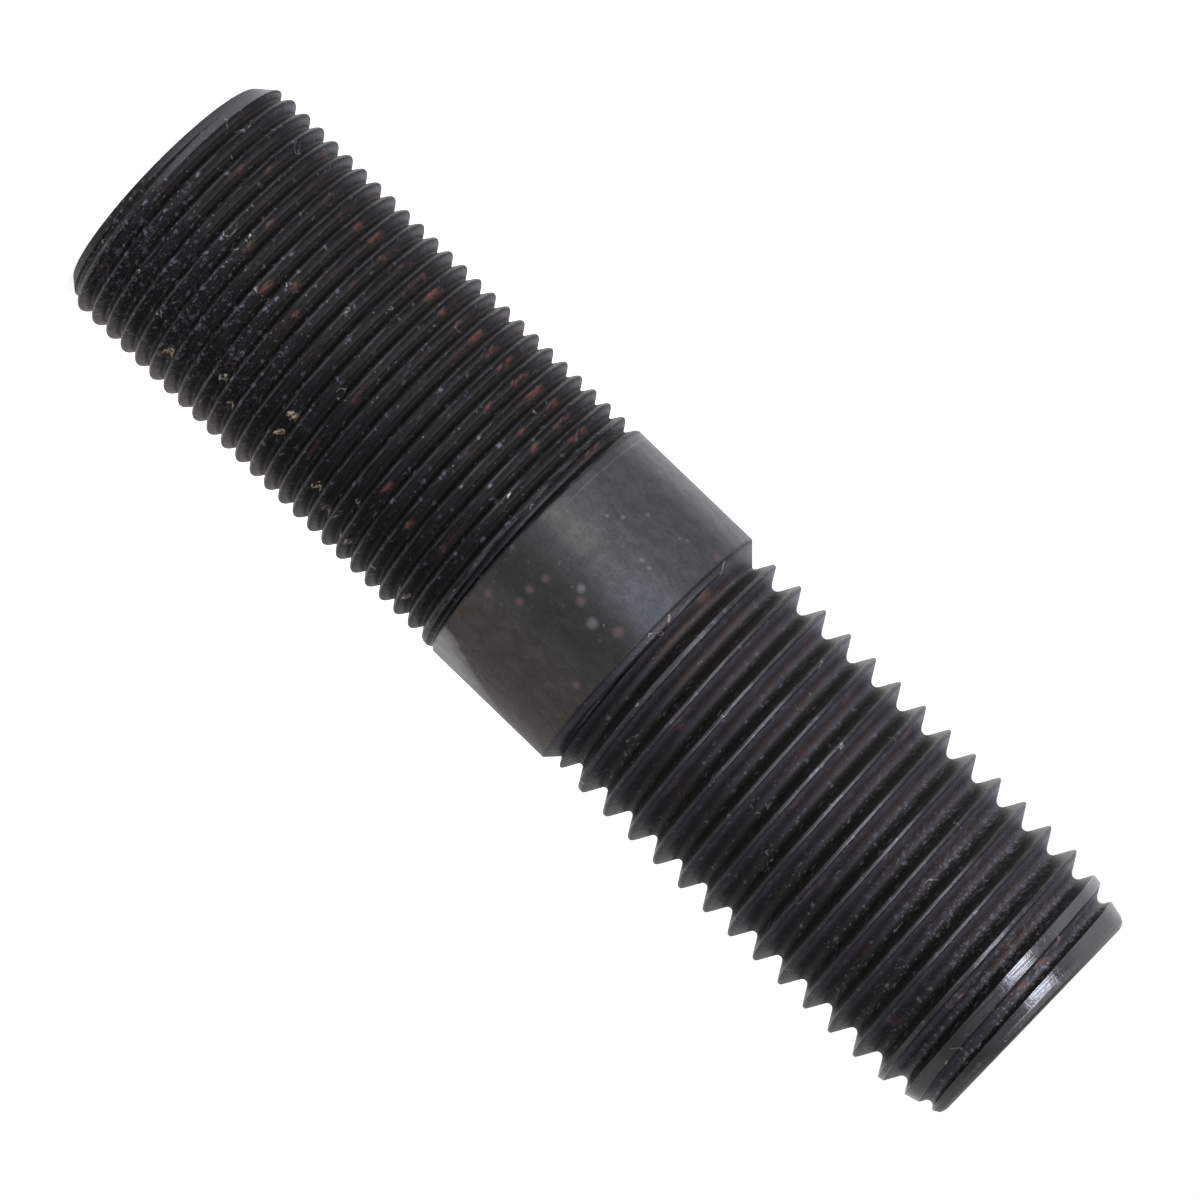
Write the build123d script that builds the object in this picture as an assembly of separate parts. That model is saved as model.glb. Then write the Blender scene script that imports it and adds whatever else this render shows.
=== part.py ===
"""Double ended stud: one steel bar with a fine thread at one end, a coarse thread at
the other and a plain shank between them, all on one axis and both right-handed.

Millimetres, with the axis along Z. The stud stands on the end face of its fine
thread, with the coarse thread up. The origin is the centre of that lower face."""

import os
from math import ceil, cos, pi, radians, sin, tan

from build123d import *

INCH = 25.4

# Lengths along the axis, from the lower face up
fine_thread_length = 2.125 * INCH
shank_length = 0.655 * INCH
coarse_thread_length = 2.22 * INCH

# Diameters
shank_diameter = 1.25 * INCH
fine_major_diameter = 31.64
coarse_major_diameter = 31.64
fine_end_diameter = 28.0
coarse_end_diameter = 26.0

# Threads in the unified inch form: the depth and the widths of the flats on the crest
# and in the root, all in pitches
fine_pitch = INCH / 12
coarse_pitch = INCH / 7
thread_depth = 0.6134
crest_flat = 0.125
root_flat = 0.167

# Height of the first crest on the +X side: above the lower face for the fine thread,
# above the shank for the coarse one
fine_first_crest = 0.48
coarse_first_crest = 2.04

# Each thread has this many facets to the turn
fine_facets = 24
coarse_facets = 32

# Chamfer of the fine end, long lead taper and bevel of the coarse end, and the cone
# at each end of the shank in which the threads run out, each measured from the axis
fine_chamfer_angle = 40
lead_taper_angle = 14.5
lead_taper_length = 8.0
coarse_bevel_angle = 47
run_out_angle = 46

# How far a trimming solid stands clear of the crests
clear = 0.5

coarse_start = fine_thread_length + shank_length
overall_length = coarse_start + coarse_thread_length


def turned(*outline):
    """A solid of revolution from (radius, height) corners."""
    return revolve(Plane.XZ * make_face(Polyline(*outline, close=True)), Axis.Z)


def one_turn(radius, pitch, facets, lift):
    """The corners of one turn of a right-hand helix that starts on the +X side at the
    height lift, one for each facet's edge. At radius 0 they climb the axis."""
    angles = [2 * pi * step / facets for step in range(facets + 1)]
    return [(radius * cos(a), radius * sin(a), lift + pitch * a / (2 * pi)) for a in angles]


def ribbon(lower, upper):
    """The surface between two turns that climb side by side, two flat triangles for
    each pair of chords."""
    faces = []
    for a, b, c, d in zip(lower, lower[1:], upper[1:], upper):
        faces.append(Face(Wire.make_polygon([a, b, c], close=True)))
        faces.append(Face(Wire.make_polygon([a, c, d], close=True)))
    return faces


def threaded_bar(section, pitch, facets, start, turns):
    """A bar that is threaded from end to end. The section lists (radius, height in
    pitches) from one crest to the next, and start is the first crest's height on
    the +X side. A spiral ramp and a flat step close each end."""

    def helix(radius, rise):
        return one_turn(radius, pitch, facets, start + rise * pitch)

    faces = []
    for turn in range(turns):
        lines = [helix(radius, rise + turn) for radius, rise in section]
        for lower, upper in zip(lines, lines[1:]):
            faces += ribbon(lower, upper)

    crest_radius, crest_rise = section[0]
    for end in (0, turns):
        axis = helix(0, crest_rise + end)
        faces += ribbon(axis, helix(crest_radius, crest_rise + end))
        rim = [(radius, 0, start + (rise + end) * pitch) for radius, rise in section]
        faces.append(Face(Wire.make_polygon(rim + axis[::-1], close=True)))
    return Solid(Shell(faces))


def shank():
    """The plain shank, with a cone at each end that rises out of the thread roots."""
    radius = shank_diameter / 2
    tip_radius = radius / 2
    cone = (radius - tip_radius) / tan(radians(run_out_angle))
    return turned(
        (0, fine_thread_length - cone),
        (tip_radius, fine_thread_length - cone),
        (radius, fine_thread_length),
        (radius, coarse_start),
        (tip_radius, coarse_start + cone),
        (0, coarse_start + cone),
    )


def fine_end():
    """The fine thread: a plain V with sharp crests and roots, trimmed by the lower face
    and its chamfer. Its upper end is buried in the shank."""
    crest = fine_major_diameter / 2
    start = fine_first_crest - 2 * fine_pitch
    turns = ceil((fine_thread_length + clear - start) / fine_pitch)
    section = [(crest, 0), (crest - thread_depth * fine_pitch, 0.5), (crest, 1)]
    bar = threaded_bar(section, fine_pitch, fine_facets, start, turns)

    face = fine_end_diameter / 2
    outer = crest + clear
    chamfer = (outer - face) / tan(radians(fine_chamfer_angle))
    top = start + (turns + 2) * fine_pitch
    return bar & turned((0, 0), (face, 0), (outer, chamfer), (outer, top), (0, top))


def coarse_end():
    """The coarse thread: straight flanks between flat crests and narrow flat roots,
    trimmed by the long lead taper, the bevel and the upper face. Its lower end is
    buried in the shank."""
    crest = coarse_major_diameter / 2
    root = crest - thread_depth * coarse_pitch
    start = coarse_start + coarse_first_crest - 2 * coarse_pitch
    turns = ceil((overall_length + coarse_pitch - start) / coarse_pitch)
    section = [
        (crest, -crest_flat / 2),
        (crest, crest_flat / 2),
        (root, 0.5 - root_flat / 2),
        (root, 0.5 + root_flat / 2),
        (crest, 1 - crest_flat / 2),
    ]
    bar = threaded_bar(section, coarse_pitch, coarse_facets, start, turns)

    face = coarse_end_diameter / 2
    slope = tan(radians(lead_taper_angle))
    taper_end = crest - lead_taper_length * slope
    bevel = (taper_end - face) / tan(radians(coarse_bevel_angle))
    outer = crest + clear
    taper_start = overall_length - bevel - lead_taper_length - clear / slope
    return bar & turned(
        (0, start - coarse_pitch),
        (outer, start - coarse_pitch),
        (outer, taper_start),
        (taper_end, overall_length - bevel),
        (face, overall_length),
        (0, overall_length),
    )


def stud():
    """The whole stud, one solid."""
    return shank() + fine_end() + coarse_end()


os.makedirs("parts", exist_ok=True)
export_step(stud(), "parts/stud.step")
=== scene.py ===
from math import cos, pi, radians, sin, sqrt

import bmesh
import bpy
import numpy as np
from mathutils import Matrix, Vector


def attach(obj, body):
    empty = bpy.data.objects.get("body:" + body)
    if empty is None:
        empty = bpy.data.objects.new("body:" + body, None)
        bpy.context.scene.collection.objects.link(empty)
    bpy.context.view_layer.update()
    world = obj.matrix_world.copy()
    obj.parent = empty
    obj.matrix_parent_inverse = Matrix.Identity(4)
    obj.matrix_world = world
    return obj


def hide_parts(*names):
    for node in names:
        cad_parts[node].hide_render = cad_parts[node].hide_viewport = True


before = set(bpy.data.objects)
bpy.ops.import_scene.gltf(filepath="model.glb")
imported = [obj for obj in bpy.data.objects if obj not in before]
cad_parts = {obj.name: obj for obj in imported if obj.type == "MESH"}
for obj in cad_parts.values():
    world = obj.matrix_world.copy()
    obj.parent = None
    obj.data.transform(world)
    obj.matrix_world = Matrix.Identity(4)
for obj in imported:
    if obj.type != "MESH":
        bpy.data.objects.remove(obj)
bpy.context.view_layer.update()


# The stud
# One bar of steel, turned, then threaded with a die at each end: twelve fine threads
# to the inch below, seven coarse ones above, and a plain shank left between them. It
# was blackened in an oxide bath and oiled, and has picked up lint, dust and some rust.
MM = 0.001
INCH = 25.4
COLUMNS = 128
stud_length = 127.0
shank_radius = 15.875
crest_radius = 15.82
fine_end_radius = 14.0
coarse_end_radius = 13.0
fine_shoulder = 55.0
coarse_shoulder = 70.96
taper_start = 118.4
bevel_start = 125.9

# Pitch, height of the first crest on the +X side, depth, half the crest's flat, and
# how far the flat's edges are eased
fine_thread = {"pitch": INCH / 12, "first": 0.48, "depth": 1.12, "flat": 0.19, "ease": 0.36}
coarse_thread = {"pitch": INCH / 7, "first": 72.652, "depth": 2.226, "flat": 0.15, "ease": 0.14}

# How far the round root reaches to each side, in its own radius: the cosine of 30 degrees
root_reach = 0.866

# Height at which the die no longer dragged the coarse crests, and the drag for each
# millimetre below it
drag_end = 75.39
drag_rate = 0.298


def turned_radius(z):
    """Radius of the blank at height z, before it was threaded: straight lines between
    the chamfer of the fine end, the bar, the worn first coarse threads, the long lead
    taper and the rounded bevel of the coarse end."""
    outline = [
        (0, fine_end_radius), (2.17, crest_radius), (52.9, crest_radius), (53.9, shank_radius),
        (coarse_shoulder, shank_radius), (72.4, 15.52), (74.45, 15.56), (76.27, 15.67),
        (78.1, crest_radius), (taper_start, crest_radius), (119.8, 15.55), (122.1, 15.15),
        (123.2, 14.83), (124.7, 14.42), (126.1, 14.1), (126.7, 13.75), (126.92, 13.35),
        (stud_length, coarse_end_radius),
    ]
    heights, radii = zip(*outline)
    return np.interp(z, heights, radii)


def eased(fall, ease):
    """A fall that starts softly: the mean of it and the root of its square plus the
    square of the ease."""
    return (fall + np.sqrt(fall**2 + ease**2)) / 2


def root_bend(thread):
    """Radius of the round root that touches both flanks: the depth at which the
    flanks would meet, less the depth of the root."""
    rounded_off = eased(-sqrt(3) * thread["flat"], thread["ease"])
    meet = sqrt(3) * (thread["pitch"] / 2 - thread["flat"]) - rounded_off
    return meet - thread["depth"]


def thread_radius(height, thread, drag):
    """Radius of a thread's surface at a height above the nearest crest, which may be
    negative. Flanks 30 degrees off the radial fall from the crest's eased flat, and a
    circle joins them in the root. drag moves the flank under the crest up to it."""
    fall = sqrt(3) * (np.maximum(height, drag - height) - thread["flat"])
    flank = eased(fall, thread["ease"]) - eased(-sqrt(3) * thread["flat"], thread["ease"])
    bend = root_bend(thread)
    from_root = thread["pitch"] / 2 - np.where(height > 0, height, -height + drag)
    circle = np.sqrt(np.maximum(bend**2 - np.clip(from_root, 0, bend) ** 2, 0))
    circle = thread["depth"] - bend + circle
    return crest_radius - np.where(from_root < root_reach * bend, np.minimum(flank, circle), flank)


def coarse_drag(crest):
    """How far the flank under a coarse crest is dragged up where the die ran out, for
    the height of that crest: a straight line down to nothing two turns on."""
    return np.clip(drag_rate * (drag_end - crest), 0, 2)


def stud_radius(theta, z):
    """Radius of the finished stud at the angle theta and height z, inside the turned
    blank. The last fine groove is lifted out of the shank little by little, over its
    last 0.7 turns, and the coarse thread is filled up to the shank by a cone."""
    radius = np.full(z.shape, shank_radius)
    lifted = np.interp(z, [coarse_shoulder, coarse_shoulder + 3], [0, 3.126])
    for here, thread, worn in (
        (z < fine_shoulder, fine_thread, 0),
        (z > coarse_shoulder, coarse_thread, 1),
    ):
        start = thread["first"] + thread["pitch"] * theta / (2 * pi)
        crest = start + thread["pitch"] * np.round((z - start) / thread["pitch"])
        cut = thread_radius(z - crest, thread, worn * coarse_drag(crest))
        groove_turn = theta / (2 * pi) + 0.5 + np.round((z - start) / thread["pitch"] - 0.5)
        lift = np.interp(groove_turn, [25.0, 25.25, 25.5, 25.7], [0, 0.5, 0.85, 1.4])
        if worn:
            cut = np.maximum(cut, shank_radius - lifted)
        else:
            cut = np.minimum(cut + lift, shank_radius)
        radius = np.where(here, cut, radius)
    return np.minimum(radius, turned_radius(z))


def crest_edge(crest, side, thread, drag):
    """Height of one edge of the flat that the blank leaves on a crest, below it for
    side -1 and above it for +1: down the flank until the blank's radius is met,
    found by stepping to the blank and back to the flank."""
    edge = crest + side * thread["flat"]
    for _ in range(40):
        down = (crest_radius - turned_radius(edge)) / sqrt(3)
        edge = crest + side * (thread["flat"] + down) + drag * (side < 0)
    return np.clip(edge, crest - 0.48 * thread["pitch"], crest + 0.48 * thread["pitch"])


def thread_rows(thread, bottom, top, flank_steps, root_steps, worn):
    """Angles and heights of a strip that follows the helix between the heights bottom
    and top. Each column crosses one crest and one groove, from the lower edge of a
    crest to the lower edge of the next, with rows close together on the eased edges
    of the crest and others spread over the flanks and the root. Heights past bottom
    or top are held there."""
    first, pitch = thread["first"], thread["pitch"]
    lowest, highest = np.floor((bottom - first) / pitch - 2), np.ceil((top - first) / pitch + 2)
    turns = np.arange(COLUMNS * lowest, COLUMNS * highest) / COLUMNS
    crest = first + pitch * turns
    drag, next_drag = worn * coarse_drag(crest), worn * coarse_drag(crest + pitch)
    ease, bend = thread["ease"] / 3, root_bend(thread)
    edges = []
    for lift, pull in ((0, drag), (pitch, next_drag)):
        low, high = (crest_edge(crest + lift, side, thread, pull) for side in (-1, 1))
        middle = (low + high) / 2
        edges.append((np.where(low > high, middle, low), np.where(low > high, middle, high)))
    (low, high), (next_low, _) = edges
    flat_end = np.maximum(high - ease, low + ease)
    root = np.maximum(crest + pitch / 2 - root_reach * bend, flat_end + 2 * ease)
    root_end = crest + pitch / 2 + root_reach * bend + next_drag
    root_end = np.clip(root_end, root, np.maximum(next_low - ease, root))
    marks = [low - ease, low + ease, flat_end, flat_end + 2 * ease, root, root_end, next_low - ease]
    rows = [marks[0]]
    for a, b, steps in zip(marks, marks[1:], (2, 1, 2, flank_steps, root_steps, flank_steps)):
        rows += [a + (b - a) * step / steps for step in range(1, steps + 1)]
    heights = np.clip(np.maximum.accumulate(np.array(rows), axis=0), bottom, top)
    angles = np.broadcast_to(2 * pi * (turns % 1), heights.shape)
    return angles, heights


def ring_rows(heights):
    """Angles and heights of level rings round the stud, one row for each height."""
    angles = 2 * pi * np.arange(COLUMNS + 1) / COLUMNS
    return np.meshgrid(angles, np.array(heights, float))


def grid_points(angles, radii, heights):
    """Corners of a grid from its cylindrical coordinates in millimetres."""
    return np.stack([radii * np.cos(angles), radii * np.sin(angles), heights], -1) * MM


def grid_faces(rows, columns, start, up):
    """Four-cornered faces that join a grid's neighbours, numbered from start and
    facing outwards where rows go up, turned over where they don't."""
    corner = np.arange(rows * columns).reshape(rows, columns) + start
    a, b, c, d = corner[:-1, :-1], corner[:-1, 1:], corner[1:, 1:], corner[1:, :-1]
    faces = np.stack([a, b, c, d], -1).reshape(-1, 4)
    return faces if up else faces[:, ::-1]


def mark_surface(mesh):
    """Two numbers at each corner of the skin for its finish: groove, the depth under
    the turned blank in millimetres, and lean, the upward part of the outward normal,
    from the change of radius over 0.06 mm of height."""
    places = np.empty(3 * len(mesh.vertices))
    mesh.vertices.foreach_get("co", places)
    x, y, z = places.reshape(-1, 3).T / MM
    theta, radius = np.arctan2(y, x) % (2 * pi), np.hypot(x, y)
    step = 0.06
    slope = (stud_radius(theta, z + step / 2) - stud_radius(theta, z - step / 2)) / step
    end_face = (z < 0.001) | (z > stud_length - 0.001)
    groove = np.where(end_face, 0, turned_radius(z) - radius)
    lean = np.where(end_face, np.sign(z - stud_length / 2), -slope / np.sqrt(1 + slope**2))
    for name, values in (("groove", groove), ("lean", lean)):
        mesh.attributes.new(name, "FLOAT", "POINT").data.foreach_set("value", values)


def stud_mesh():
    """The whole skin: lower face, fine thread, shank, coarse thread, bevel and upper
    face, each a grid of its own, joined along the rings where they meet."""
    grids = []
    for thread, bottom, top, steps, worn in (
        (fine_thread, 0.0, fine_shoulder, (2, 4), 0),
        (coarse_thread, coarse_shoulder, bevel_start, (3, 6), 1),
    ):
        angles, heights = thread_rows(thread, bottom, top, *steps, worn)
        grids.append((angles, stud_radius(angles, heights), heights, True))
    for bottom, top, rings in (
        (fine_shoulder, coarse_shoulder, 17),
        (bevel_start, stud_length, 12),
    ):
        angles, heights = ring_rows(np.linspace(bottom, top, rings))
        grids.append((angles, stud_radius(angles, heights), heights, True))
    for height, rim, up in ((0.0, fine_end_radius, False), (stud_length, coarse_end_radius, True)):
        angles, radii = ring_rows(rim * np.linspace(1, 0, 9))
        grids.append((angles, radii, np.full(radii.shape, height), up))

    points, faces, start = [], [], 0
    for angles, radii, heights, up in grids:
        points.append(grid_points(angles, radii, heights).reshape(-1, 3))
        faces.append(grid_faces(*radii.shape, start, up))
        start += radii.size
    points, faces = np.concatenate(points), np.concatenate(faces)
    mesh = bpy.data.meshes.new("threaded_stud")
    mesh.from_pydata(points.tolist(), [], faces.tolist())
    work = bmesh.new()
    work.from_mesh(mesh)
    bmesh.ops.remove_doubles(work, verts=work.verts, dist=2e-7)
    bmesh.ops.recalc_face_normals(work, faces=work.faces)
    work.to_mesh(mesh)
    work.free()
    mesh.shade_smooth()
    mesh.set_sharp_from_angle(angle=radians(30))
    mark_surface(mesh)
    return mesh


stud = bpy.data.objects.new("threaded_stud", stud_mesh())
bpy.context.scene.collection.objects.link(stud)


class Finish:
    """One value or colour of a finish, the output of a node. Arithmetic on it adds a
    Math node, and make adds any other node."""

    def __init__(self, tree, socket=None):
        self.tree, self.socket = tree, socket

    def make(self, kind, settings=None, inputs=None, output=0):
        """Adds a node with its settings and inputs, and gives one of its outputs."""
        node = self.tree.nodes.new(kind)
        for name, setting in (settings or {}).items():
            setattr(node, name, setting)
        for name, given in (inputs or {}).items():
            if isinstance(given, Finish):
                self.tree.links.new(given.socket, node.inputs[name])
            else:
                node.inputs[name].default_value = given
        return Finish(self.tree, node.outputs[output])

    def beside(self, output):
        """Another output of the same node."""
        return Finish(self.tree, self.socket.node.outputs[output])

    def maths(self, operation, first, second):
        """A Math node's result on two values."""
        return self.make("ShaderNodeMath", {"operation": operation}, {0: first, 1: second})

    def __add__(self, other):
        return self.maths("ADD", self, other)

    def __sub__(self, other):
        return self.maths("SUBTRACT", self, other)

    def __rsub__(self, other):
        return self.maths("SUBTRACT", other, self)

    def __mul__(self, other):
        return self.maths("MULTIPLY", self, other)

    __radd__, __rmul__ = __add__, __mul__

    def __or__(self, other):
        return self.maths("MAXIMUM", self, other)

    def fade(self, nothing, full):
        """0 at the first value and 1 at the second, with soft ends."""
        settings = {"interpolation_type": "SMOOTHSTEP"}
        inputs = {"Value": self, "From Min": nothing, "From Max": full}
        return self.make("ShaderNodeMapRange", settings, inputs)

    def band(self, low, high, soft):
        """1 between two values, fading to 0 over the soft distance past each."""
        return self.fade(low - soft, low) * self.fade(high + soft, high)

    def paint(self, under, over):
        """Lays one colour over another where this mask is 1."""
        under, over = (c if isinstance(c, Finish) else (*c, 1) for c in (under, over))
        return self.make("ShaderNodeMix", {"data_type": "RGBA"}, {0: self, 6: under, 7: over}, 2)

    def cloud(self, size, detail=2.0, stretch=(1, 1, 1), shift=(0, 0, 0)):
        """Cloudy noise on this place in millimetres, with features of that size."""
        scale = tuple(1 / (size * s) for s in stretch)
        inputs = {"Vector": self, "Location": shift, "Scale": scale}
        place = self.make("ShaderNodeMapping", None, inputs)
        inputs = {"Vector": place, "Scale": 1.0, "Detail": detail, "Roughness": 0.6}
        return self.make("ShaderNodeTexNoise", None, inputs)

    def near(self, centre, reach):
        """1 at a place in millimetres, fading to 0 at that reach from it."""
        away = self.make("ShaderNodeVectorMath", {"operation": "DISTANCE"}, {0: self, 1: centre}, 1)
        return away.fade(reach, 0.15 * reach)

    def spots(self, rows):
        """All the spots of a list of places with their reach."""
        mask = self.near(rows[0][:3], rows[0][3])
        for *centre, reach in rows[1:]:
            mask = mask | self.near(centre, reach)
        return mask


# Places on the stud in millimetres, each with its reach
rust_spots = [
    (-6.7, -13.8, 7.1, 0.9), (-8.6, -12.6, 9.2, 1.0), (-4.6, -14.6, 13.5, 0.9),
    (-1.6, -15.2, 13.6, 0.9), (0.5, -15.3, 17.8, 1.3), (0.3, -15.3, 22.0, 0.9),
    (-1.8, -15.2, 20.0, 1.1), (-6.0, -14.1, 24.1, 0.8), (-7.2, -13.5, 47.4, 1.1),
    (-7.0, -13.6, 49.3, 1.0), (-6.7, -13.8, 42.9, 0.9), (6.8, -13.7, 41.2, 1.2),
    (7.9, -13.1, 45.3, 1.0), (-8.0, -12.3, 73.1, 1.8), (3.4, -14.2, 80.8, 1.2),
    (-11.8, -8.4, 112.7, 0.9), (-7.0, -12.7, 120.8, 0.9), (-1.5, -14.4, 121.0, 0.8),
    (5.2, -13.5, 117.4, 1.2), (10.3, -10.2, 117.7, 1.6),
]
dirt_spots = [
    (8.2, -12.7, 28.5, 0.9), (10.4, -10.9, 28.5, 0.8), (12.5, -8.5, 14.0, 1.0),
    (10.4, -10.9, 20.3, 0.8), (12.0, -9.2, 22.6, 0.7), (11.8, -9.4, 35.1, 0.9),
    (12.9, -7.9, 37.4, 0.9), (13.6, -6.6, 40.7, 1.2), (13.5, -6.9, 49.0, 1.2),
]
shank_stains = [
    (2.1, -15.7, 59.6, 0.7), (4.1, -15.4, 59.2, 0.7), (1.3, -15.8, 63.9, 0.8),
    (0.9, -15.9, 68.9, 0.9), (-11.8, -10.6, 70.5, 0.8), (5.7, -14.8, 59.2, 0.7),
    (7.4, -14.1, 56.2, 0.7), (7.8, -13.8, 69.4, 0.6),
]
shank_dots = [
    (2.1, -15.7, 66.3, 0.9), (-8.0, -13.7, 60.8, 0.4), (-7.0, -14.3, 59.6, 0.35),
    (-6.1, -14.6, 65.4, 0.4), (-6.1, -14.7, 66.5, 0.35), (-10.9, -11.6, 67.1, 0.3),
    (-10.5, -11.9, 66.4, 0.25), (-10.0, -12.4, 62.4, 0.4), (1.4, -15.8, 67.3, 0.2),
    (0.3, -15.9, 63.0, 0.7),
]


def brighter(colour, times):
    """A colour made so many times brighter."""
    return colour.make("ShaderNodeVectorMath", {"operation": "SCALE"}, {0: colour, "Scale": times})


def black_oxide():
    """Oiled black oxide: near black on the flanks, brown dirt in the roots, a grey
    mottled shank with small stains, pale rubbed crests, the bare steel of the lead
    taper with its turning marks, and specks, lint and smudges of rust over all of it.
    Painted light and shade as well: lighter towards the -X side where the lamps stand,
    darker on flanks that face down and deep in the roots, and painted highlights on the
    shank, taper, bevel and chamfer."""
    material = bpy.data.materials.new("black_oxide")
    material.use_nodes = True
    tree = material.node_tree
    shader = tree.nodes["Principled BSDF"]
    steel = Finish(tree)
    metres = steel.make("ShaderNodeTexCoord", output=3)
    place = steel.make("ShaderNodeVectorMath", {"operation": "SCALE"}, {0: metres, "Scale": 1000.0})
    x = steel.make("ShaderNodeSeparateXYZ", None, {0: place})
    y, z = x.beside(1), x.beside(2)
    groove = steel.make("ShaderNodeAttribute", {"attribute_name": "groove"}, output=2)
    lean = steel.make("ShaderNodeAttribute", {"attribute_name": "lean"}, output=2)

    mottle = place.cloud(2.6, 3)
    grain = place.cloud(0.45, 2)
    turning = place.cloud(0.16, 1, (60, 60, 1))
    out = place.make("ShaderNodeVectorMath", {"operation": "MULTIPLY"}, {0: place, 1: (1, 1, 0)})
    out = out.make("ShaderNodeVectorMath", {"operation": "LENGTH"}, {0: out}, 1)
    inputs = {"W": out, "Scale": 3.2, "Detail": 2.0}
    rings = out.make("ShaderNodeTexNoise", {"noise_dimensions": "1D"}, inputs)
    streaks = place.cloud(0.7, 2, (5, 5, 0.6))

    # Where each kind of surface is
    on_fine = z.fade(fine_shoulder, fine_shoulder - 0.4)
    on_coarse = z.fade(70.9, 71.2)
    on_thread = on_fine + on_coarse
    on_shank = 1 - on_thread
    unthreaded = groove.fade(0.12, 0.04)
    on_crest = unthreaded * on_thread
    on_taper = unthreaded * z.fade(taper_start, taper_start + 1)
    on_chamfer = unthreaded * z.fade(2.3, 2.0)
    on_face = lean.fade(0.92, 0.97) + lean.fade(-0.92, -0.97)
    in_root = groove.fade(0.62, 1.0) * on_fine + groove.fade(1.45, 2.05) * on_coarse
    last_root = z.fade(117.0, 119.5) * z.fade(126.0, 125.6) * groove.fade(0.3, 0.7)
    faces_up = lean.fade(0.1, 0.6)
    faces_down = lean.fade(0.1, -0.6)

    # Flanks: darkest by the crest, with painted shade deep in the fine roots, in the
    # coarse roots towards +X and on every flank that faces down
    colour = mottle.fade(0.35, 0.7).paint((0.0135, 0.0125, 0.0147), (0.02, 0.0187, 0.023))
    colour = groove.fade(0.55, 0.12).paint(colour, (0.0026, 0.0026, 0.0033))
    # Painted shade: the bottom of the fine root made darker
    colour = groove.fade(0.86, 1.0).paint(colour, (0.0066, 0.0058, 0.0056))
    rooty = groove.band(0.6, 0.85, 0.12) * lean.fade(0, 0.4) * x.band(-9, -1, 4)
    colour = (rooty * 0.7).paint(colour, (0.032, 0.0285, 0.027))
    coarse = mottle.fade(0.3, 0.7).paint((0.0222, 0.0212, 0.026), (0.0298, 0.0283, 0.0345))
    coarse = groove.fade(0.7, 0.15).paint(coarse, (0.0135, 0.0129, 0.016))
    # Painted shade: the coarse roots darker towards the +X side, away from the lamps
    coarse = (in_root * x.fade(2, 7)).paint(coarse, (0.015, 0.0138, 0.0135))
    rooty = groove.band(1.5, 2.0, 0.3) * x.band(-9, -1, 4) * (0.4 + streaks.fade(0.3, 0.62) * 0.6)
    coarse = (rooty * 0.85).paint(coarse, (0.036, 0.0265, 0.0242))
    colour = on_coarse.paint(colour, coarse)
    # Painted shade: every thread flank that faces down is made darker
    painted_shade_under = on_coarse.paint((0.0068, 0.0062, 0.006), (0.0112, 0.0104, 0.0098))
    colour = (faces_down * on_thread).paint(colour, painted_shade_under)
    # Painted light: every flank lighter towards -X, where the lamps stand, and the fine thread
    # darker towards +X
    colour = brighter(colour, 1 + x.fade(3, -13) * 0.75 - x.fade(7, 11) * on_fine * 0.35)

    # Shank
    grey = mottle.fade(0.3, 0.7).paint((0.0225, 0.0225, 0.0232), (0.0305, 0.0305, 0.031))
    # Painted light: the shank lighter towards the -X side, where the lamps stand
    grey = x.fade(1.0, -9.0).paint(grey, (0.036, 0.036, 0.0395))
    # Painted highlights: a greenish sheen towards the fine end and a bluish one towards the coarse
    # end, on the shank's -X side where the tall lamp's highlight falls
    painted_sheen = x.band(-4.2, -3.5, 1.5) * z.fade(64.0, 58.0) * (0.4 + mottle * 0.6)
    grey = painted_sheen.paint(grey, (0.042, 0.041, 0.0365))
    painted_sheen = x.band(-4.0, -1.2, 2.2) * z.fade(62.0, 68.0) * (0.4 + mottle * 0.6)
    grey = painted_sheen.paint(grey, (0.032, 0.035, 0.0435))
    patches = place.cloud(1.1, 4, (1, 1, 1.5)).fade(0.38, 0.62)
    dark_band = x.fade(-3.0, 2.5) * x.fade(8.5, 4.0) * (0.5 + patches * 0.45)
    grey = dark_band.paint(grey, (0.0125, 0.0125, 0.013))
    grey = (x.fade(5.5, 10.5) * 0.85).paint(grey, (0.029, 0.0245, 0.0212))
    rubbed = (x + z * -0.27 + mottle * 0.8).fade(-1.75, -1.35) * z.fade(69, 60) * y.fade(1, -5)
    bare = (z * -0.3 + x + mottle * 1.5).fade(-3.6, -0.8)
    bare = bare.paint((0.06, 0.059, 0.059), (0.19, 0.186, 0.186))
    grey = (rubbed * 0.85).paint(grey, bare)
    turned_line = z.band(55.7, 55.75, 0.12) * x.fade(-4.5, -7.5) * streaks.fade(0.3, 0.45)
    grey = (turned_line * 0.5).paint(grey, (0.075, 0.075, 0.078))
    grey = brighter(grey, 0.66 + patches * 0.24 + grain * 0.42)
    colour = on_shank.paint(colour, grey)

    # Crests, chamfer and lead taper
    pale = streaks.fade(0.3, 0.7).paint((0.022, 0.0215, 0.0235), (0.046, 0.0455, 0.049))
    # Pale rubbed crests; on the coarse thread the paler colour fades towards +X as painted shade
    coarse_crest = on_crest * on_coarse * (0.85 - x.fade(2.5, 7) * 0.55)
    fine_crest = groove.fade(0.05, 0.02) * on_fine * streaks.fade(0.35, 0.6) * 0.5
    colour = (coarse_crest | fine_crest).paint(colour, pale)
    shaded_edge = groove.band(0.14, 0.24, 0.06) * faces_up * on_coarse
    colour = (shaded_edge * 0.75).paint(colour, (0.007, 0.007, 0.0095))
    brushed_and_painted_light = turning.fade(0.3, 0.7).paint((0.038, 0.037, 0.04), (0.056, 0.055, 0.06))
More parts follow.
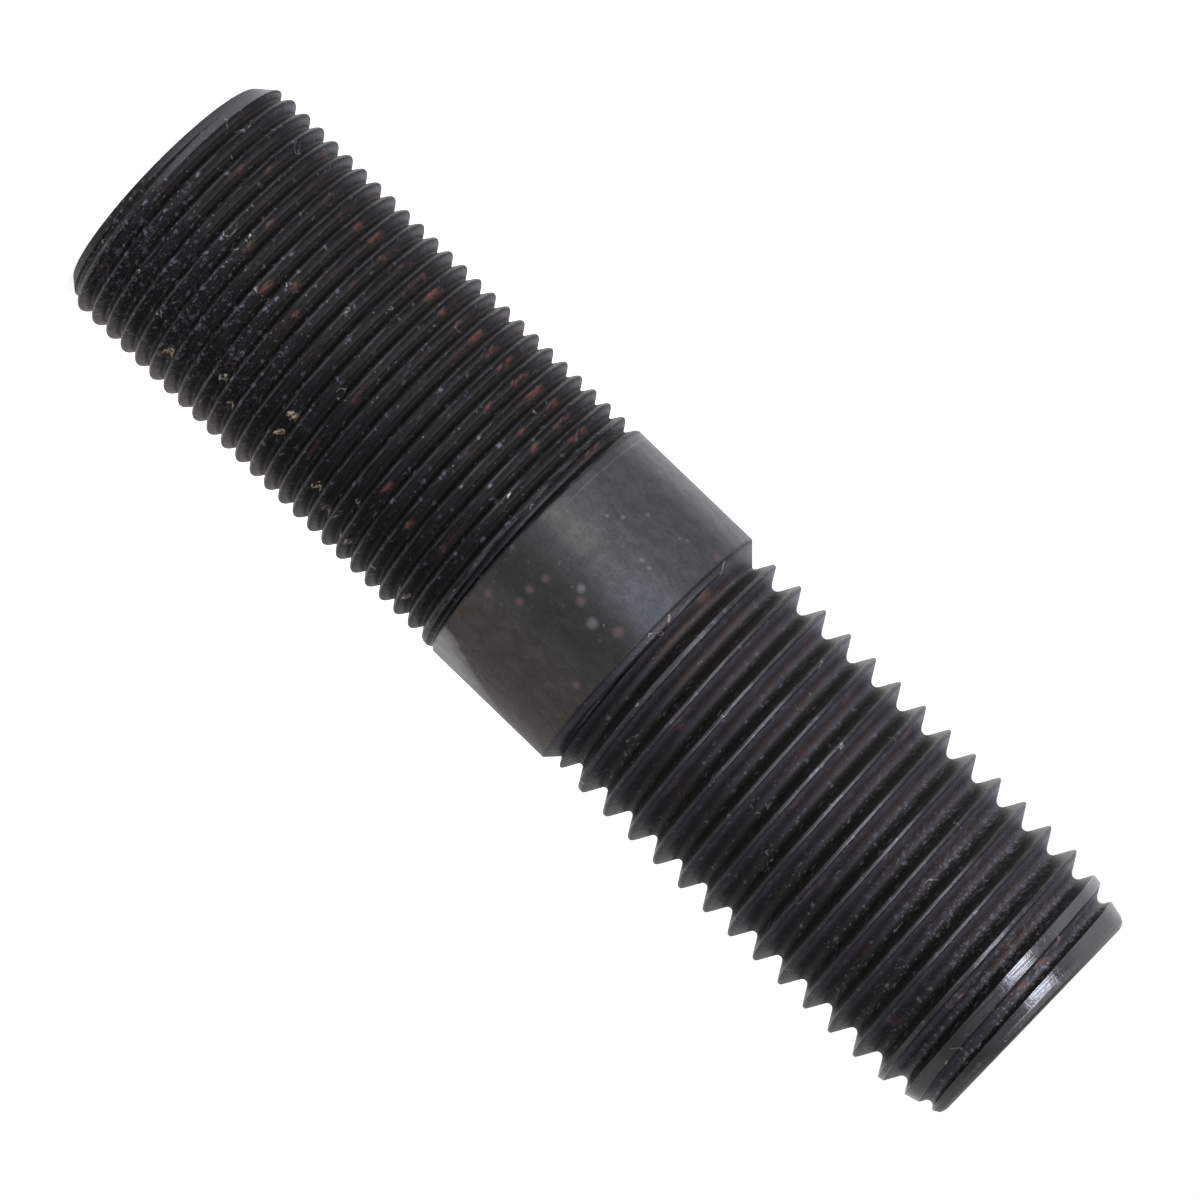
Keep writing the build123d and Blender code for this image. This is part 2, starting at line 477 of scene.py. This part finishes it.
    # Painted shade: the taper darker towards +X
    brushed_and_painted_light = x.fade(3, 8).paint(brushed_and_painted_light, (0.0315, 0.0298, 0.0295))
    brushed_and_painted_light = x.fade(7.5, 10.5).paint(brushed_and_painted_light, (0.047, 0.0455, 0.046))
    # Painted highlight: a bright band on the taper where the tall lamp's highlight falls
    painted_highlight = turning.fade(0.3, 0.7).paint((0.066, 0.067, 0.075), (0.108, 0.11, 0.123))
    brushed_and_painted_light = (x.band(-3.2, -1.5, 2.3) * 0.8).paint(brushed_and_painted_light, painted_highlight)
    # Painted light: the taper lighter towards the -X side
    brushed_and_painted_light = (x.fade(-4.5, -10) * 0.75).paint(brushed_and_painted_light, (0.15, 0.147, 0.16))
    colour = on_taper.paint(colour, brushed_and_painted_light)
    # The bevel, with painted shade across its front and painted light towards the -X side
    rim = x.band(-2, 4, 6).paint((0.045, 0.0445, 0.0475), (0.019, 0.0187, 0.0205))
    rim = x.fade(-6, -13).paint(rim, (0.12, 0.117, 0.12))
    bevel = z.fade(126.0, 126.3)
    colour = bevel.paint(colour, rim)
    # The chamfer, with a painted highlight towards the -X side and dark brown towards +X
    chamfer = x.fade(4.0, -4.0).paint((0.0075, 0.0065, 0.006), (0.042, 0.043, 0.0475))
    colour = on_chamfer.paint(colour, chamfer)
    faced = (rings * 0.7 + mottle * 0.3).fade(0.35, 0.65)
    colour = on_face.paint(colour, faced.paint((0.019, 0.0185, 0.02), (0.043, 0.042, 0.045)))

    # Rust, stains and dirt, with edges that wander
    inputs = {"Vector": place, "Scale": 1.7, "Detail": 2.0}
    wander = place.make("ShaderNodeTexNoise", None, inputs, 1)
    inputs = {0: wander, 1: (0.5, 0.5, 0.5)}
    wander = wander.make("ShaderNodeVectorMath", {"operation": "SUBTRACT"}, inputs)
    inputs = {0: wander, 1: (1.2, 1.2, 0.6), 2: place}
    spread = wander.make("ShaderNodeVectorMath", {"operation": "MULTIPLY_ADD"}, inputs)
    rust_lines = x.band(-11.5, -10.4, 0.9) * y.fade(-3, -6) * z.fade(9, 24)
    patchy = place.cloud(1.3, 2, (1.4, 1.4, 0.8), (3, 8, 1))
    rust_lines = rust_lines * patchy.fade(0.42, 0.55) * on_fine
    old_rust = place.cloud(2.2, 3, (2.5, 2.5, 0.8), (3, 8, 1)).fade(0.6, 0.72) * on_thread
    rust = spread.spots(rust_spots) | rust_lines * 0.9 | old_rust * (0.35 + last_root * 0.45)
    rust = rust * groove.fade(0.2, 0.5) * faces_up
    rust_brown = grain.fade(0.35, 0.65).paint((0.055, 0.0235, 0.019), (0.115, 0.054, 0.045))
    colour = (rust * 0.8).paint(colour, rust_brown)
    ragged = place.cloud(0.42, 2, (1, 1, 1), (1, 4, 7))
    dirt = spread.spots(dirt_spots).fade(0.05, 0.4)
    dirt = dirt * ragged.fade(0.46, 0.52) * groove.fade(0.1, 0.4)
    sandy = ragged.fade(0.45, 0.65).paint((0.12, 0.085, 0.065), (0.36, 0.3, 0.245))
    colour = (dirt * 0.85).paint(colour, sandy)
    colour = (place.spots(shank_stains) * on_shank * 0.2).paint(colour, (0.17, 0.112, 0.107))
    colour = (place.spots(shank_dots) * 0.3).paint(colour, (0.15, 0.15, 0.165))
    # Painted light: everything lighter along the -X edge, past 12.4 mm out from the axis
    colour = brighter(colour, 1 + x.fade(-12.4, -15.7) * 1.9)
    brown = x.fade(13.2, 15.6) * z.fade(42, 26) * on_fine
    colour = (brown * 0.6).paint(colour, (0.075, 0.06, 0.049))

    # Specks of dust and pale bloom, thicker low on one side and in the coarse roots.
    # Each cell of a pattern has a random number, and shows its speck where that and
    # gathered come to more than 0.
    deep = groove.fade(0.9, 1.7) * on_coarse
    dusty = 0.12 + on_thread * 0.05 + x.fade(-5.0, 8.0) * z.fade(38, 8) * y.fade(7, -4) * 0.45
    dusty = dusty + deep * z.fade(90, 117) * (0.14 + x.fade(5, -8) * 0.5)
    dusty = dusty | last_root * (0.34 + x.fade(6, -6) * 0.4)
    gathered = dusty * (0.2 + mottle * 1.6) - 1
    pale_dust = 0.5 + on_thread * 0.25 + (deep | last_root) * 0.45
    cells = place.make("ShaderNodeTexVoronoi", None, {"Vector": spread, "Scale": 1.35}, 0)
    pick = place.make("ShaderNodeSeparateColor", None, {0: cells.beside(1)})
    specks = cells.fade(0.52, 0.12) * (pick + gathered).fade(0, 0.12)
    specks = specks * (pale_dust - on_shank * 0.25)
    colour = (specks * 0.7).paint(colour, (0.085, 0.085, 0.108))
    small = place.make("ShaderNodeTexVoronoi", None, {"Vector": place, "Scale": 2.8}, 0)
    pick = place.make("ShaderNodeSeparateColor", None, {0: small.beside(1)})
    specks = small.fade(0.45, 0.12) * (pick + gathered * 1.06).fade(0, 0.1) * pale_dust
    colour = (specks * 0.45).paint(colour, (0.14, 0.136, 0.152))

    # Lint, short curls cut out of rings about the middle of each cell
    curls = spread.make("ShaderNodeTexVoronoi", None, {"Vector": spread, "Scale": 0.2}, 0)
    pick = place.make("ShaderNodeSeparateColor", None, {0: curls.beside(1)})
    from_loop = curls * 5 - (0.4 + pick.beside(1) * 1.6)
    broken = place.cloud(1.2, 1, (1, 1, 1), (5, 2, 9)).fade(0.53, 0.6)
    lint = from_loop.maths("ABSOLUTE", from_loop, 0).fade(0.08, 0.02) * broken
    lint = lint * on_thread * pick.fade(0.3, 0.5)
    colour = (lint * 0.45).paint(colour, (0.3, 0.29, 0.29))

    tree.links.new(colour.socket, shader.inputs["Base Color"])
    matt = rust | in_root * 0.75 | dirt
    roughness = 0.4 + grain * 0.12 + matt * 0.3 + bevel * 0.25
    roughness = roughness - on_taper * 0.16 - on_crest * on_coarse * 0.08
    tree.links.new(roughness.socket, shader.inputs["Roughness"])
    metal = 0.65 + on_taper * 0.35 + on_crest * on_coarse * 0.2 - matt * 0.5 - bevel * 0.3
    tree.links.new(metal.socket, shader.inputs["Metallic"])
    relief = grain * 0.5 + turning * (0.35 + on_taper * 0.8) + patches * 0.5 + rings * on_face * 1.2
    inputs = {"Strength": 0.5, "Distance": 0.00006, "Height": relief}
    bump = steel.make("ShaderNodeBump", None, inputs)
    tree.links.new(bump.socket, shader.inputs["Normal"])
    shader.inputs["Specular IOR Level"].default_value = 0.15
    shader.inputs["Specular Tint"].default_value = (0.75, 0.75, 0.75, 1)
    return material


stud.data.materials.append(black_oxide())
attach(stud, "root")
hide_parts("stud")


# Floor and background
# A white table under the stud and white all round it. They look white to the camera
# and in the steel, and the table still takes the stud's soft shadow.
def white_table():
    """White paint that also glows for the camera and in reflections."""
    material = bpy.data.materials.new("white_table")
    material.use_nodes = True
    tree = material.node_tree
    tree.nodes.clear()
    camera_ray = Finish(tree).make("ShaderNodeLightPath")
    seen_white = camera_ray | camera_ray.beside(3)
    glow = camera_ray.make("ShaderNodeEmission", None, {"Strength": seen_white * 0.8})
    paint = camera_ray.make("ShaderNodeBsdfDiffuse", None, {"Color": (0.8, 0.8, 0.8, 1)})
    both = camera_ray.make("ShaderNodeAddShader", None, {0: paint, 1: glow})
    output = tree.nodes.new("ShaderNodeOutputMaterial")
    tree.links.new(both.socket, output.inputs["Surface"])
    return material


far = 6
corners = [(-far, -far, 0), (far, -far, 0), (far, far, 0), (-far, far, 0)]
floor_mesh = bpy.data.meshes.new("floor")
floor_mesh.from_pydata(corners, [], [(0, 1, 2, 3)])
floor = bpy.data.objects.new("floor", floor_mesh)
bpy.context.scene.collection.objects.link(floor)
floor_mesh.materials.append(white_table())

world = bpy.data.worlds.new("white_room")
world.use_nodes = True
bpy.context.scene.world = world
room = world.node_tree
camera_ray = Finish(room).make("ShaderNodeLightPath")
seen_white = camera_ray | camera_ray.beside(3)
room.links.new((0.45 + seen_white * 0.55).socket, room.nodes["Background"].inputs["Strength"])
room.nodes["Background"].inputs["Color"].default_value = (1, 1, 1, 1)


# Lamps
# Two broad soft boxes: a tall one on the camera's side, off to the stud's -X side, and
# a wide one over the coarse end.
def soft_box(name, place, width, height, power, colour):
    """A rectangular area lamp in metres and watts that points at the stud's middle."""
    lamp = bpy.data.lights.new(name, "AREA")
    lamp.shape, lamp.size, lamp.size_y = "RECTANGLE", width, height
    lamp.energy, lamp.color = power, colour
    box = bpy.data.objects.new(name, lamp)
    bpy.context.scene.collection.objects.link(box)
    box.location = place
    box.rotation_mode = "QUATERNION"
    box.rotation_quaternion = (Vector((0, 0, 0.064)) - Vector(place)).to_track_quat("-Z", "Y")


soft_box("tall_box", (-0.37, -0.84, 0.3), 0.42, 0.56, 8.6, (0.93, 0.96, 1.0))
soft_box("top_box", (-0.1, -0.35, 0.85), 0.5, 0.5, 11, (1.0, 0.98, 0.97))


# Camera
# It looks at the middle of the stud from a little above, and is rolled so that the
# stud lies across the picture with its coarse end to the lower right.
camera_data = bpy.data.cameras.new("camera")
camera_data.lens, camera_data.sensor_width = 210, 36
camera_data.clip_start = 0.01
camera = bpy.data.objects.new("camera", camera_data)
bpy.context.scene.collection.objects.link(camera)
bpy.context.scene.camera = camera

camera_distance = 0.73636
camera_rise = radians(5.07)
camera_roll = radians(43.896)
back = Vector((0, -cos(camera_rise), sin(camera_rise)))
level_up = Vector((0, sin(camera_rise), cos(camera_rise)))
side = Vector((1, 0, 0))
right = -sin(camera_roll) * side + cos(camera_roll) * level_up
up = -cos(camera_roll) * side - sin(camera_roll) * level_up
place = Vector((-0.000183, 0, 0.06382)) + camera_distance * back
camera.matrix_world = Matrix.Translation(place) @ Matrix((right, up, back)).transposed().to_4x4()

bpy.context.scene.view_settings.view_transform = "Standard"

bpy.context.view_layer.update()
